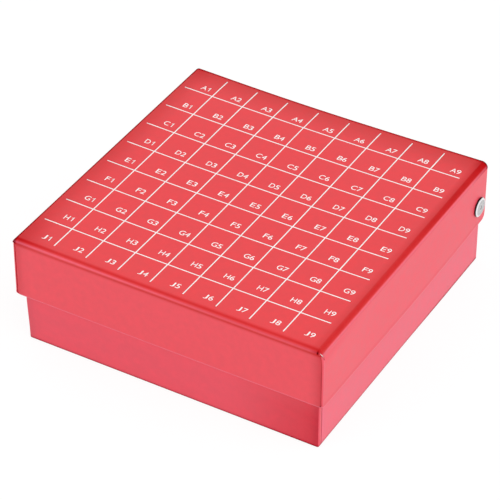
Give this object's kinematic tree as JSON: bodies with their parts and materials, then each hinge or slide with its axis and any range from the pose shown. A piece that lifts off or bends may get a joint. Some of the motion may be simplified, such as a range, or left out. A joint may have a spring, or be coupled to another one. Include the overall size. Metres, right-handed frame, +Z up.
{
  "type": "hinged cardboard freezer box",
  "caption": "Square cardboard freezer box: a shallow tray with a slotted cell divider, closed by a three-sided lid that swings back on side rivets.",
  "frame": {"origin": "middle of the footprint of tray and lid together, at the table", "axes": "+X to the right along the hinge axis, +Y to the back, where the hinge is, +Z up"},
  "size_m": [0.1358, 0.135, 0.0493],
  "materials": {
    "red_board": "red paper-wrapped board, satin, white inside",
    "white_card": "uncoated white divider card",
    "white_ink": "matt white print",
    "nickel_steel": "bright nickel-plated steel"
  },
  "bodies": {
    "base": {"base_tray": "red_board", "hinge_rivet_left": "nickel_steel", "hinge_rivet_right": "nickel_steel", "rivet_washer_left": "nickel_steel", "rivet_washer_right": "nickel_steel", "divider_row_strip_1": "white_card", "divider_row_strip_2": "white_card", "divider_row_strip_3": "white_card", "divider_row_strip_4": "white_card", "divider_row_strip_5": "white_card", "divider_row_strip_6": "white_card", "divider_row_strip_7": "white_card", "divider_row_strip_8": "white_card", "divider_column_strip_1": "white_card", "divider_column_strip_2": "white_card", "divider_column_strip_3": "white_card", "divider_column_strip_4": "white_card", "divider_column_strip_5": "white_card", "divider_column_strip_6": "white_card", "divider_column_strip_7": "white_card", "divider_column_strip_8": "white_card"},
    "lid": {"lid": "red_board", "cell_grid_print": "white_ink"}
  },
  "joints": [
    {"name": "lid_hinge", "type": "hinge", "parent": "base", "child": "lid", "pos_m": [0, 0.05955, 0.032], "axis": [-1, 0, 0], "range_deg": [0, 125]}
  ]
}
